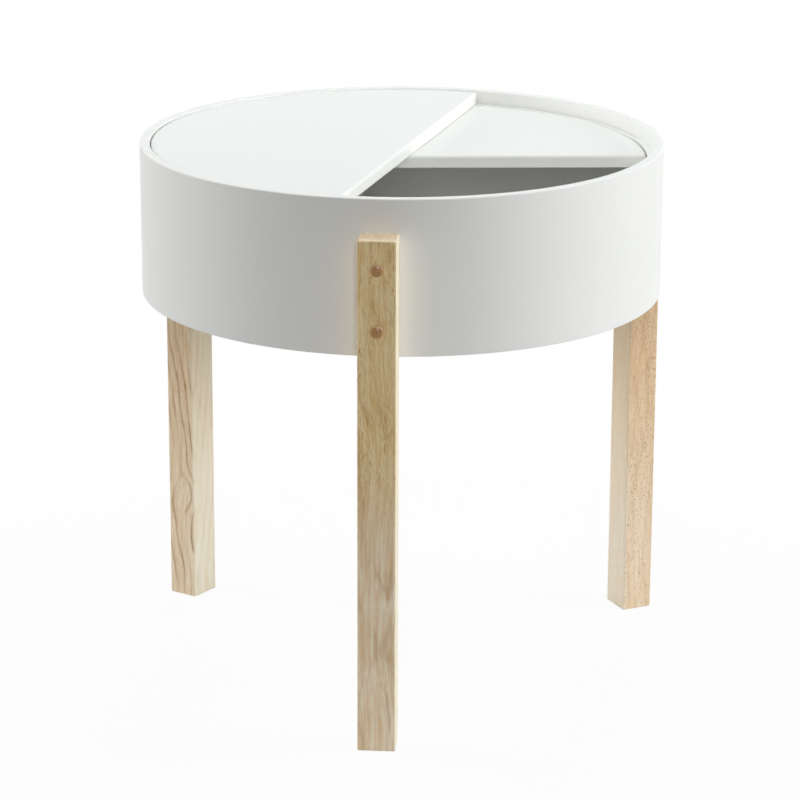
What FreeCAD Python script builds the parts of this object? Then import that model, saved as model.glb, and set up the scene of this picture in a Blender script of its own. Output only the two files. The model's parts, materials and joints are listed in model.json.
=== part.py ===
import FreeCAD, Part

# A round end table. A white drum is bolted between three straight wooden legs, and two
# loose half-moon lids close it. The upper lid lies on a ledge just under the rim. The lower
# lid lies one board lower, inside that ledge, so it turns under the upper one. Both lift out.
#
# Frame: +Z up, floor at Z = 0, front leg towards -Y. The origin is under the middle of the
# whole table, so the drum's axis stands a little behind it. Sizes are in millimetres.

import math
import os

from FreeCAD import Placement, Rotation, Vector

# Drum
TABLE_HEIGHT = 515.0          # floor to rim
DRUM_DIAMETER = 500.0
DRUM_HEIGHT = 145.0
HOOP_WALL = 9.5               # bent laminated hoop
RIM_ROUND = 1.5               # radius of both edges of the rim
BASE_CHAMFER = 1.0            # both lower edges of the hoop

# Lids
LID_THICKNESS = 12.0
LID_TOP_ROUND = 3.0
LID_UNDER_CHAMFER = 0.5
LID_CORNER_RADIUS = 4.0       # the two corners where arc and straight edge meet
LID_CLEARANCE = 1.0           # running gap between a lid's arc and the ring round it
LID_GAP = 0.4                 # running gap between the two lids
UPPER_LID_BELOW_RIM = 1.0
UPPER_LID_PAST_CENTRE = 12.5  # how far the straight edge lies past the drum's axis
LOWER_LID_PAST_CENTRE = 16.0
UPPER_LID_FACING = -11.35     # degrees from +X, the way the straight edge faces
LOWER_LID_FACING = -84.1

# Ledges that carry the lids
UPPER_LEDGE_WIDTH = 6.0
LOWER_LEDGE_WIDTH = 10.0      # measured inwards from the upper ledge
LOWER_LEDGE_HEIGHT = 16.0
LEDGE_CHAMFER = 0.6           # inner edge of each ledge that faces the compartment

# Bottom panel, the cleats under it and their screws
PANEL_THICKNESS = 9.0
PANEL_CLEARANCE = 0.3
CLEAT_COUNT = 6
CLEAT_LENGTH = 70.0           # along the hoop
CLEAT_WIDTH = 18.0
CLEAT_HEIGHT = 9.0
CLEAT_RECESS = 1.5            # how far the cleats stay above the hoop's lower edge
SCREW_DIAMETER = 3.5
SCREW_HEAD_DIAMETER = 7.0
SCREW_COVER = 2.0             # wood left above the tip

# Legs
LEG_NAMES = ("front", "right", "left")
FRONT_LEG_ANGLE = -90.0
LEG_WIDTH = 35.0
LEG_THICKNESS = 28.0          # outside the drum
LEG_SHOULDER = 3.0            # how far a leg reaches in under the hoop, which stands on it
LEG_ABOVE_BOLT = 27.0         # leg's top above the upper bolt
LEG_ROUND = 2.0

# Bolts through leg and hoop, their nuts inside the drum and the plugs over their heads
NUT_UNDER_LEDGE = 9.0         # gap from the lower ledge down to the upper nuts
NUT_OVER_PANEL = 3.0          # gap from the panel up to the lower nuts
PLUG_DIAMETER = 12.0
PLUG_DEPTH = 8.0
PLUG_PROUD = 2.2
PLUG_DOME_RADIUS = 40.0
PLUG_EDGE_ROUND = 1.5
BOLT_DIAMETER = 6.0
BOLT_HEAD_DIAMETER = 10.0
BOLT_HEAD_HEIGHT = 6.0
BOLT_TIP_GAP = 1.0            # from the bolt's tip to the nut's closed end
BOLT_SOCKET_WIDTH = 5.0       # across the flats
BOLT_SOCKET_DEPTH = 3.0
WASHER_DIAMETER = 11.6
WASHER_THICKNESS = 1.0
NUT_FLANGE_DIAMETER = 16.0
NUT_FLANGE_THICKNESS = 1.2
NUT_BARREL_DIAMETER = 8.0
NUT_BARREL_LENGTH = 8.0
FIXING_CLEARANCE = 0.1        # radial, round bolts, nuts and plugs

# Radii from the drum's axis
drum_radius = DRUM_DIAMETER / 2
hoop_inside = drum_radius - HOOP_WALL
upper_ledge_inside = hoop_inside - UPPER_LEDGE_WIDTH
lower_ledge_inside = upper_ledge_inside - LOWER_LEDGE_WIDTH
upper_lid_radius = hoop_inside - LID_CLEARANCE
lower_lid_radius = upper_ledge_inside - LID_CLEARANCE
panel_radius = hoop_inside - PANEL_CLEARANCE
cleat_inside = hoop_inside - CLEAT_WIDTH
screw_circle = hoop_inside - CLEAT_WIDTH / 2
leg_face = drum_radius + LEG_THICKNESS
plug_seat = leg_face - PLUG_DEPTH
washer_seat = plug_seat - BOLT_HEAD_HEIGHT - WASHER_THICKNESS
nut_seat = math.sqrt(hoop_inside**2 - (NUT_FLANGE_DIAMETER / 2) ** 2)

# Heights above the floor
drum_base = TABLE_HEIGHT - DRUM_HEIGHT
upper_ledge_top = TABLE_HEIGHT - UPPER_LID_BELOW_RIM - LID_THICKNESS
lower_ledge_top = upper_ledge_top - LID_GAP - LID_THICKNESS
lower_ledge_base = lower_ledge_top - LOWER_LEDGE_HEIGHT
cleat_base = drum_base + CLEAT_RECESS
panel_base = cleat_base + CLEAT_HEIGHT
panel_top = panel_base + PANEL_THICKNESS
nut_radius = NUT_FLANGE_DIAMETER / 2
bolt_heights = {
    "upper": lower_ledge_base - NUT_UNDER_LEDGE - nut_radius,
    "lower": panel_top + NUT_OVER_PANEL + nut_radius,
}
leg_top = bolt_heights["upper"] + LEG_ABOVE_BOLT

# The drum's axis, set back by half of what stands out in front of the drum
drum_axis = Vector(0, (LEG_THICKNESS + PLUG_PROUD) / 2, 0)
UP = Vector(0, 0, 1)
OUTWARDS = Vector(1, 0, 0)
TOUCHING = 1e-6


def level_edges(shape, height):
    """The edges that lie flat at a height."""
    return [
        edge
        for edge in shape.Edges
        if abs(edge.BoundBox.ZMin - height) < TOUCHING and abs(edge.BoundBox.ZMax - height) < TOUCHING
    ]


def ring(inside, outside, low, high):
    """A ring about the Z axis, of rectangular section."""
    blank = Part.makeCylinder(outside, high - low, UP * low)
    return blank.cut(Part.makeCylinder(inside, high - low, UP * low))


def inner_edge(shape, height):
    """A ring's inner edge at a height."""
    return min(level_edges(shape, height), key=lambda edge: edge.BoundBox.XLength)


def rod(start, end, diameter):
    """A round bar along +X, from one distance from the drum's axis to another."""
    return Part.makeCylinder(diameter / 2, end - start, Vector(start, 0, 0), OUTWARDS)


def at_drum(shape, angle=0.0, height=0.0):
    """Turns a shape about the Z axis and carries it to the drum's axis at a height."""
    placed = shape.copy()
    placed.Placement = Placement(drum_axis + UP * height, Rotation(UP, angle)).multiply(shape.Placement)
    return placed


def leg_angles():
    """Each leg's name with its direction from the drum's axis, in degrees."""
    step = 360.0 / len(LEG_NAMES)
    return {name: FRONT_LEG_ANGLE + step * place for place, name in enumerate(LEG_NAMES)}


def drum_hoop():
    """The drum's wall, drilled for the nuts inside it and the bolts that meet them."""
    hoop = ring(hoop_inside, drum_radius, drum_base, TABLE_HEIGHT)
    hoop = hoop.makeFillet(RIM_ROUND, level_edges(hoop, TABLE_HEIGHT))
    hoop = hoop.makeChamfer(BASE_CHAMFER, level_edges(hoop, drum_base))
    barrel_hole = rod(0, hoop_inside + NUT_BARREL_LENGTH, NUT_BARREL_DIAMETER + 2 * FIXING_CLEARANCE)
    bolt_hole = rod(hoop_inside, leg_face, BOLT_DIAMETER + 2 * FIXING_CLEARANCE)
    drill = barrel_hole.fuse(bolt_hole)
    for angle in leg_angles().values():
        for height in bolt_heights.values():
            drill.Placement = Placement(UP * height, Rotation(UP, angle))
            hoop = hoop.cut(drill)
    return at_drum(hoop)


def upper_ledge():
    """The ring under the upper lid, which also guides the lower lid's edge."""
    ledge = ring(upper_ledge_inside, hoop_inside, lower_ledge_top, upper_ledge_top)
    ledge = ledge.makeChamfer(LEDGE_CHAMFER, [inner_edge(ledge, upper_ledge_top)])
    return at_drum(ledge)


def lower_ledge():
    """The wider ring below, which carries the lower lid."""
    ledge = ring(lower_ledge_inside, hoop_inside, lower_ledge_base, lower_ledge_top)
    ledge = ledge.makeChamfer(LEDGE_CHAMFER, [inner_edge(ledge, lower_ledge_top)])
    return at_drum(ledge)


def half_moon(radius, past_centre):
    """A lid with its underside at Z = 0, cut straight a little past the centre, facing +X."""
    disc = Part.makeCylinder(radius, LID_THICKNESS)
    beyond = Part.makeBox(radius, 2 * radius, LID_THICKNESS, Vector(past_centre, -radius, 0))
    lid = disc.cut(beyond)
    corners = [edge for edge in lid.Edges if is_corner(edge, past_centre)]
    lid = lid.makeFillet(LID_CORNER_RADIUS, corners)
    lid = lid.makeFillet(LID_TOP_ROUND, level_edges(lid, LID_THICKNESS))
    return lid.makeChamfer(LID_UNDER_CHAMFER, level_edges(lid, 0))


def is_corner(edge, past_centre):
    """Whether an edge runs straight up where a lid's arc meets its straight edge."""
    box = edge.BoundBox
    return box.XMin > past_centre - TOUCHING and box.XLength + box.YLength < TOUCHING


def upper_lid():
    """The lid that lies just under the rim."""
    lid = half_moon(upper_lid_radius, UPPER_LID_PAST_CENTRE)
    return at_drum(lid, UPPER_LID_FACING, upper_ledge_top)


def lower_lid():
    """The lid that turns under the upper one."""
    lid = half_moon(lower_lid_radius, LOWER_LID_PAST_CENTRE)
    return at_drum(lid, LOWER_LID_FACING, lower_ledge_top)


def cleat_angles():
    """The cleats' directions, evenly spaced and clear of the legs."""
    step = 360.0 / CLEAT_COUNT
    return [FRONT_LEG_ANGLE + step * (place + 0.5) for place in range(CLEAT_COUNT)]


def panel_screw():
    """A countersunk screw up through a cleat into the panel, on the Z axis from Z = 0."""
    sink = (SCREW_HEAD_DIAMETER - SCREW_DIAMETER) / 2
    length = CLEAT_HEIGHT + PANEL_THICKNESS - SCREW_COVER
    head = Part.makeCone(SCREW_HEAD_DIAMETER / 2, SCREW_DIAMETER / 2, sink)
    point = Part.makeCone(SCREW_DIAMETER / 2, 0, sink, UP * (length - sink))
    shank = Part.makeCylinder(SCREW_DIAMETER / 2, length - 2 * sink, UP * sink)
    return head.fuse([shank, point])


def placed_screw(angle):
    """A panel screw in its cleat."""
    screw = panel_screw()
    screw.translate(OUTWARDS * screw_circle)
    return at_drum(screw, angle, cleat_base)


def bottom_panel():
    """The compartment's floor, a disc that lies on the cleats."""
    panel = Part.makeCylinder(panel_radius, PANEL_THICKNESS)
    panel = at_drum(panel, 0, panel_base)
    for angle in cleat_angles():
        panel = panel.cut(placed_screw(angle))
    return panel


def bottom_cleat(angle):
    """A block glued to the hoop under the panel, bent to the hoop and drilled for its screw."""
    spread = math.degrees(CLEAT_LENGTH / hoop_inside)
    start = Rotation(UP, -spread / 2).multVec(OUTWARDS)
    outer = Part.makeCylinder(hoop_inside, CLEAT_HEIGHT, Vector(), UP, spread)
    inner = Part.makeCylinder(cleat_inside, CLEAT_HEIGHT, Vector(), UP)
    block = outer.cut(inner)
    turn = math.degrees(math.atan2(start.y, start.x))
    return at_drum(block, angle + turn, cleat_base).cut(placed_screw(angle))


def leg_blank():
    """A leg facing +X, every edge rounded, hollowed and shouldered to fit the drum."""
    back = math.sqrt(drum_radius**2 - (LEG_WIDTH / 2) ** 2) - LEG_SHOULDER
    blank = Part.makeBox(leg_face - back, LEG_WIDTH, leg_top, Vector(back, -LEG_WIDTH / 2, 0))
    blank = blank.makeFillet(LEG_ROUND, blank.Edges)
    drum = Part.makeCylinder(drum_radius, DRUM_HEIGHT, UP * drum_base)
    return blank.cut(drum)


def leg(angle):
    """A leg in its place, counterbored for two plugged bolts."""
    counterbore = rod(washer_seat, leg_face + PLUG_PROUD, PLUG_DIAMETER + 2 * FIXING_CLEARANCE)
    bolt_hole = rod(hoop_inside, leg_face, BOLT_DIAMETER + 2 * FIXING_CLEARANCE)
    drill = counterbore.fuse(bolt_hole)
    shaped = leg_blank()
    for height in bolt_heights.values():
        drill.Placement = Placement(UP * height, Rotation())
        shaped = shaped.cut(drill)
    return at_drum(shaped, angle)


def plug():
    """A turned button that fills the counterbore and stands proud with a domed end."""
    top = leg_face + PLUG_PROUD
    dome = Part.makeSphere(PLUG_DOME_RADIUS, OUTWARDS * (top - PLUG_DOME_RADIUS), OUTWARDS)
    button = rod(plug_seat, top, PLUG_DIAMETER).common(dome)
    rim = [edge for edge in button.Edges if edge.BoundBox.YLength > PLUG_DIAMETER / 2]
    outer_rim = max(rim, key=lambda edge: edge.BoundBox.XMin)
    return button.makeFillet(PLUG_EDGE_ROUND, [outer_rim])


def bolt():
    """A cap screw from the counterbore through leg and hoop into the nut."""
    seat = washer_seat + WASHER_THICKNESS
    tip = nut_seat + BOLT_TIP_GAP
    head = rod(seat, plug_seat, BOLT_HEAD_DIAMETER)
    shank = rod(tip, seat, BOLT_DIAMETER)
    corner = BOLT_SOCKET_WIDTH / math.sqrt(3)
    turns = [math.radians(60 * place) for place in range(7)]
    floor = plug_seat - BOLT_SOCKET_DEPTH
    flats = Part.makePolygon([Vector(floor, corner * math.cos(a), corner * math.sin(a)) for a in turns])
    socket = Part.Face(flats).extrude(OUTWARDS * BOLT_SOCKET_DEPTH)
    return head.fuse(shank).removeSplitter().cut(socket)


def washer():
    """The washer between bolt head and leg."""
    disc = rod(washer_seat, washer_seat + WASHER_THICKNESS, WASHER_DIAMETER)
    return disc.cut(rod(0, leg_face, BOLT_DIAMETER + 2 * FIXING_CLEARANCE))


def nut():
    """A flanged nut with a closed end, pressed into the hoop from inside up to its flange."""
    flange = rod(nut_seat - NUT_FLANGE_THICKNESS, nut_seat, NUT_FLANGE_DIAMETER)
    barrel = rod(nut_seat, hoop_inside + NUT_BARREL_LENGTH, NUT_BARREL_DIAMETER)
    thread = rod(nut_seat, leg_face, BOLT_DIAMETER + 2 * FIXING_CLEARANCE)
    return flange.fuse(barrel).cut(thread)


def table():
    """Every piece of the table by name, in its place."""
    pieces = {
        "drum_hoop": drum_hoop(),
        "upper_ledge": upper_ledge(),
        "lower_ledge": lower_ledge(),
        "bottom_panel": bottom_panel(),
        "upper_lid": upper_lid(),
        "lower_lid": lower_lid(),
    }
    for place, angle in enumerate(cleat_angles(), start=1):
        pieces[f"bottom_cleat_{place}"] = bottom_cleat(angle)
        pieces[f"panel_screw_{place}"] = placed_screw(angle)
    for name, angle in leg_angles().items():
        pieces[f"{name}_leg"] = leg(angle)
        for row, height in bolt_heights.items():
            pieces[f"{name}_{row}_plug"] = at_drum(plug(), angle, height)
            pieces[f"{name}_{row}_bolt"] = at_drum(bolt(), angle, height)
            pieces[f"{name}_{row}_washer"] = at_drum(washer(), angle, height)
            pieces[f"{name}_{row}_nut"] = at_drum(nut(), angle, height)
    return pieces


os.makedirs("parts", exist_ok=True)
for node, piece in table().items():
    piece.exportStep(f"parts/{node}.step")
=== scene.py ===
"""A round end table: a white drum on three pale hardwood legs, closed by two loose half-moon lids.

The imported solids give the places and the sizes. Each sub-assembly is a class that builds its
meshes in metres, dresses them in a procedural finish and hands them to the frame.
"""
import json
import logging
import math
from dataclasses import dataclass, replace
from enum import Enum, auto
from functools import partial, reduce
from typing import Callable, Iterable, Sequence

import bmesh
import bpy
from mathutils import Matrix, Vector


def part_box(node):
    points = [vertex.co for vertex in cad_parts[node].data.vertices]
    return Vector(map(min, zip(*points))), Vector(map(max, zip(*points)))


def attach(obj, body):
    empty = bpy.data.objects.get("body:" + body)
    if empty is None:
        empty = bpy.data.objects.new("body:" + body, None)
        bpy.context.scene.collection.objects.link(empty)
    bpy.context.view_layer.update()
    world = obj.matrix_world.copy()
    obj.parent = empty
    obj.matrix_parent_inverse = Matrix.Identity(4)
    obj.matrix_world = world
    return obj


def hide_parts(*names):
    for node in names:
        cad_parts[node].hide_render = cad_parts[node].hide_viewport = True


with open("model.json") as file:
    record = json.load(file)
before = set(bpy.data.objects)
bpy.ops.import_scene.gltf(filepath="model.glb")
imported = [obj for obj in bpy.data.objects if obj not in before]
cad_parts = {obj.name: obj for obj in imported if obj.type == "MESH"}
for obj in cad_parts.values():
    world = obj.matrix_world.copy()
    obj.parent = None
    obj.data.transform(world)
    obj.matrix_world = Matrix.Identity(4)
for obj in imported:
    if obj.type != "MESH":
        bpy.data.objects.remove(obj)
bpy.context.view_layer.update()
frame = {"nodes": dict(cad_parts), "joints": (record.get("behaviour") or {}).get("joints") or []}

log = logging.getLogger("end_table")

Colour = tuple[float, float, float]
Point = tuple[float, float, float]
Flat = tuple[float, float]
RadiusAt = Callable[[float], float]
Operator = Callable[["Signal", "Operand"], "Signal"]

MM = 0.001
FULL_TURN = 2.0 * math.pi
QUARTER_TURN = math.pi / 2
SHARP_EDGE = math.radians(34.0)
DOUBLES = 0.001 * MM
NOISE_MEAN = 0.5
SEED_STEP = 1000.0
ORIGIN: Point = (0.0, 0.0, 0.0)
WHITE: Colour = (1.0, 1.0, 1.0)


class Slot(Enum):
    """The record's material slots."""

    LACQUER = "white_lacquer"
    HARDWOOD = "pale_wood"
    PLUG = "plug_wood"
    ZINC = "zinc_steel"
    PAINT = "painted_steel"


class Body(Enum):
    """The bodies that move on their own."""

    STAND = "stand"
    UPPER_LID = "upper_lid"
    LOWER_LID = "lower_lid"


class LegPlace(Enum):
    """The three legs, each with its direction from the drum's axis in degrees."""

    FRONT = -90.0
    RIGHT = 30.0
    LEFT = 150.0

    @property
    def label(self) -> str:
        """The leg's name as the solids use it."""
        return self.name.lower()

    @property
    def turn(self) -> float:
        """The leg's direction in radians."""
        return math.radians(self.value)


# ------------------------------------------------------------------ node graphs


def arithmetic(operation: str, reflected: bool = False) -> Operator:
    """Makes one of a signal's operators.

    Args:
        operation: The Math node's operation.
        reflected: Whether the signal is the second operand.

    Returns:
        The operator's method.
    """

    def method(signal: "Signal", other: "Operand") -> "Signal":
        """Adds the operator's Math node."""
        operands = (other, signal) if reflected else (signal, other)
        return signal.graph.maths(operation, *operands)

    return method


class Signal:
    """An output socket that adds Math nodes when it is used in arithmetic."""

    __add__, __radd__ = arithmetic("ADD"), arithmetic("ADD", reflected=True)
    __sub__, __rsub__ = arithmetic("SUBTRACT"), arithmetic("SUBTRACT", reflected=True)
    __mul__, __rmul__ = arithmetic("MULTIPLY"), arithmetic("MULTIPLY", reflected=True)
    __truediv__, __rtruediv__ = arithmetic("DIVIDE"), arithmetic("DIVIDE", reflected=True)

    def __init__(self, graph: "Graph", socket: bpy.types.NodeSocket) -> None:
        """Wraps an output socket of a graph."""
        self.graph = graph
        self.socket = socket

    def math(self, operation: str, *others: "Operand") -> "Signal":
        """The result of any other Math operation on this signal."""
        return self.graph.maths(operation, self, *others)

    def between(self, low: float, high: float) -> "Signal":
        """Maps low..high to a smooth 0..1.

        Args:
            low: The level that becomes 0.
            high: The level that becomes 1.

        Returns:
            The mapped signal.
        """
        return self.graph.add(
            "ShaderNodeMapRange",
            {"interpolation_type": "SMOOTHSTEP"},
            {"Value": self, "From Min": low, "From Max": high},
        )


Operand = Signal | float | int


def highest(signals: Sequence[Signal]) -> Signal:
    """The highest of several signals."""
    return reduce(lambda one, other: one.math("MAXIMUM", other), signals)


class Graph:
    """A node tree under construction."""

    def __init__(self, tree: bpy.types.NodeTree) -> None:
        """Empties a tree to build in it."""
        self.tree = tree
        tree.nodes.clear()

    def node(
        self, kind: str, settings: dict | None = None, inputs: dict | None = None
    ) -> bpy.types.Node:
        """Adds a node.

        Args:
            kind: The node's type.
            settings: Its properties, set before its sockets.
            inputs: Its socket values or links, by the sockets' places, identifiers or names.

        Returns:
            The new node.
        """
        made = self.tree.nodes.new(kind)
        for name, value in (settings or {}).items():
            setattr(made, name, value)
        for name, value in (inputs or {}).items():
            socket = self.find(made.inputs, name)
            if isinstance(value, Signal):
                self.tree.links.new(value.socket, socket)
            elif isinstance(value, tuple) and socket.type == "RGBA":
                socket.default_value = (*value, 1.0)
            else:
                socket.default_value = value
        return made

    def add(
        self,
        kind: str,
        settings: dict | None = None,
        inputs: dict | None = None,
        output: str | int = 0,
    ) -> Signal:
        """Adds a node and returns one of its outputs.

        Args:
            kind: The node's type.
            settings: Its properties.
            inputs: Its socket values or links.
            output: The output's place, identifier or name.

        Returns:
            That output as a signal.
        """
        made = self.node(kind, settings, inputs)
        return Signal(self, self.find(made.outputs, output))

    def maths(self, operation: str, *operands: Operand) -> Signal:
        """The result of a Math node on numbers or signals."""
        return self.add("ShaderNodeMath", {"operation": operation}, dict(enumerate(operands)))

    def vector_maths(
        self, operation: str, *operands: Signal | Point, output: str = "Vector"
    ) -> Signal:
        """The result of a Vector Math node on vectors or signals."""
        settings, inputs = {"operation": operation}, dict(enumerate(operands))
        return self.add("ShaderNodeVectorMath", settings, inputs, output)

    def parts(self, vector: Signal) -> list[Signal]:
        """The three parts of a vector."""
        split = self.node("ShaderNodeSeparateXYZ", inputs={"Vector": vector})
        return [Signal(self, socket) for socket in split.outputs]

    @staticmethod
    def find(sockets: Sequence[bpy.types.NodeSocket], key: str | int) -> bpy.types.NodeSocket:
        """Finds a socket.

        Args:
            sockets: A node's inputs or outputs.
            key: The place, the identifier, or the name of an enabled socket.

        Returns:
            The socket.
        """
        if isinstance(key, int):
            return sockets[key]
        by_identifier = [socket for socket in sockets if socket.identifier == key]
        by_name = [socket for socket in sockets if socket.name == key and socket.enabled]
        return (by_identifier + by_name)[0]


class Mixing(Enum):
    """How a second colour goes on a first."""

    OVER = "MIX"
    TINT = "MULTIPLY"


@dataclass(frozen=True)
class Noise:
    """Fractal noise.

    Attributes:
        grain: The size of one grain along X, Y and Z, in millimetres.
        detail: Octaves.
        roughness: Weight of the finer octaves.
    """

    grain: Point
    detail: float = 2.0
    roughness: float = 0.5


class FinishGraph(Graph):
    """A material's nodes around one Principled shader."""

    def __init__(self, name: str) -> None:
        """Makes an empty material.

        Args:
            name: The material's name.
        """
        self.material = bpy.data.materials.new(name)
        self.material.use_nodes = True
        super().__init__(self.material.node_tree)

    def position(self, centre: Point = ORIGIN, turn: float = 0.0) -> Signal:
        """The surface point in millimetres, in a frame of the piece's own.

        Args:
            centre: That frame's origin, in metres.
            turn: That frame's turn about the upright, in radians.

        Returns:
            The point as a vector.
        """
        point = self.add("ShaderNodeTexCoord", output="Object")
        place = {"Location": centre, "Rotation": (0.0, 0.0, turn), "Scale": (MM, MM, MM)}
        return self.add(
            "ShaderNodeMapping", {"vector_type": "TEXTURE"}, {"Vector": point, **place}
        )

    def noise(self, point: Signal, noise: Noise, output: str = "Fac") -> Signal:
        """Reads a noise.

        Args:
            point: Where to read it, in millimetres.
            noise: The noise.
            output: "Fac" for a number, "Color" for three.

        Returns:
            Its level there, 0 to 1 and mostly near NOISE_MEAN.
        """
        settings = {"noise_dimensions": "3D", "normalize": True}
        scaled = self.vector_maths("DIVIDE", point, noise.grain)
        octaves = {"Scale": 1.0, "Detail": noise.detail, "Roughness": noise.roughness}
        return self.add("ShaderNodeTexNoise", settings, {"Vector": scaled, **octaves}, output)

    def blend(
        self,
        amount: Operand,
        start: Signal | Colour,
        end: Signal | Colour,
        mixing: Mixing = Mixing.OVER,
    ) -> Signal:
        """Mixes two colours.

        Args:
            amount: 0 leaves the first, 1 brings the second in fully.
            start: The first colour.
            end: The second colour.
            mixing: How the second goes on the first.

        Returns:
            The mixed colour.
        """
        return self.add(
            "ShaderNodeMix",
            {"data_type": "RGBA", "blend_type": mixing.value, "clamp_factor": True},
            {"Factor_Float": amount, "A_Color": start, "B_Color": end},
            "Result_Color",
        )

    def bump(self, height: Signal, depth: float) -> Signal:
        """The normal of a surface whose height of 1 stands for a depth in metres."""
        inputs = {"Strength": 1.0, "Distance": depth, "Height": height}
        return self.add("ShaderNodeBump", inputs=inputs)

    def close(self, **sockets: Signal | float | Colour) -> bpy.types.Material:
        """Adds the Principled shader and the output.

        Args:
            sockets: The shader's sockets, with underscores for spaces.

        Returns:
            The finished material.
        """
        inputs = {name.replace("_", " "): value for name, value in sockets.items()}
        shader = self.add("ShaderNodeBsdfPrincipled", inputs=inputs)
        self.node("ShaderNodeOutputMaterial", inputs={"Surface": shader})
        return self.material


class GrowthPlan(Graph):
    """A Geometry Nodes tree with named inputs that takes a mesh and gives the finished one."""

    def __init__(self, name: str, **inputs: str) -> None:
        """Makes a tree with its inputs.

        Args:
            name: The tree's name.
            inputs: The type of each named input, such as "Float", with underscores for spaces.
        """
        super().__init__(bpy.data.node_groups.new(name, "GeometryNodeTree"))
        face = self.tree.interface
        face.new_socket("Geometry", in_out="INPUT", socket_type="NodeSocketGeometry")
        face.new_socket("Geometry", in_out="OUTPUT", socket_type="NodeSocketGeometry")
        for label, kind in {**inputs, "Material": "Material"}.items():
            socket_type = f"NodeSocket{kind}"
            face.new_socket(label.replace("_", " "), in_out="INPUT", socket_type=socket_type)
        self.entry = self.node("NodeGroupInput")

    def given(self, label: str) -> Signal:
        """One of the tree's inputs."""
        return Signal(self, self.find(self.entry.outputs, label))

    def close(self, geometry: Signal) -> None:
        """Realizes the geometry, gives it its material and ends the tree.

        Args:
            geometry: What the tree has made.
        """
        realized = self.add("GeometryNodeRealizeInstances", inputs={"Geometry": geometry})
        coat = {"Geometry": realized, "Material": self.given("Material")}
        dressed_mesh = self.add("GeometryNodeSetMaterial", inputs=coat)
        self.node("NodeGroupOutput", inputs={"Geometry": dressed_mesh})

    def grow(self, seed: bpy.types.Object, **sizes: float | int | Point | bpy.types.ID) -> None:
        """Puts the tree on an object as a modifier with its sizes.

        Args:
            seed: The object whose mesh goes in.
            sizes: A value for each named input, with underscores for spaces.
        """
        modifier = seed.modifiers.new(self.tree.name, "NODES")
        modifier.node_group = self.tree
        identifiers = {
            item.name: item.identifier
            for item in self.tree.interface.items_tree
            if item.item_type == "SOCKET" and item.in_out == "INPUT"
        }
        for label, value in sizes.items():
            modifier[identifiers[label.replace("_", " ")]] = value


# ------------------------------------------------------------------ finishes


@dataclass(frozen=True)
class SatinLacquer:
    """Sprayed white lacquer: an even satin coat with a faint orange peel.

    Attributes:
        name: The material's name.
        colour: Its colour at its palest.
        tone_depth: How much darker it is at its darkest.
        tone: The wide noise in its colour.
        mist: The fine noise in its colour and roughness.
        mist_share: How much of the colour's change is the mist's.
        roughness: Its mean roughness.
        mist_roughness: How far the mist changes the roughness.
        gloss: Its sheen.
        peel_size: The size of the orange peel's grains, in millimetres.
        peel_depth: The peel's depth, in metres.
    """

    name: str = "white_satin_lacquer"
    colour: Colour = (0.92, 0.92, 0.887)
    tone_depth: float = 0.02
    tone: Noise = Noise((90.0, 90.0, 60.0), 3.0)
    mist: Noise = Noise((7.0, 7.0, 7.0), 4.0, 0.6)
    mist_share: float = 0.4
    roughness: float = 0.5
    mist_roughness: float = 0.08
    gloss: float = 0.07
    peel_size: float = 2.2
    peel_depth: float = 0.012 * MM

    def material(self) -> bpy.types.Material:
        """Mixes the lacquer.

        Returns:
            The finish as a material.
        """
        graph = FinishGraph(self.name)
        point = graph.position()
        tone, mist = graph.noise(point, self.tone), graph.noise(point, self.mist)
        peel = graph.noise(point, Noise((self.peel_size,) * 3, 1.0))
        shade = tuple(level * (1.0 - self.tone_depth) for level in self.colour)
        paleness = tone * (1.0 - self.mist_share) + mist * self.mist_share
        return graph.close(
            Base_Color=graph.blend(paleness, shade, self.colour),
            Roughness=self.roughness + (mist - NOISE_MEAN) * self.mist_roughness,
            Specular_IOR_Level=self.gloss,
            Normal=graph.bump(peel, self.peel_depth),
        )


@dataclass(frozen=True)
class Knot:
    """A knot that the growth lines flow round.

    Attributes:
        place: Its centre in the piece's own frame, in millimetres.
        reach: How far it bends the lines, in millimetres.
        push: How far it moves them, in millimetres.
        slant: How many times as long as wide its reach is.
    """

    place: Point
    reach: float = 13.0
    push: float = 12.0
    slant: float = 1.7


@dataclass(frozen=True)
class Sapwood:
    """Paler wood on one side of a board. On the front leg it is partly a painted highlight for the
    strong light on that side.

    Attributes:
        towards: The side that it lies on, outwards and sideways.
        reach: Where it starts and where it is full, from the middle of the piece, in millimetres.
        tinted: How much of the painted top shade it takes.
        pale: Its lightest wood.
        warm: Its darker streaks.
        covers: How much of the lines and dashes it hides.
    """

    towards: Flat
    reach: Flat
    tinted: float = 1.0
    pale: Colour = (0.97, 0.91, 0.76)
    warm: Colour = (0.93, 0.82, 0.62)
    covers: float = 0.8


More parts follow.
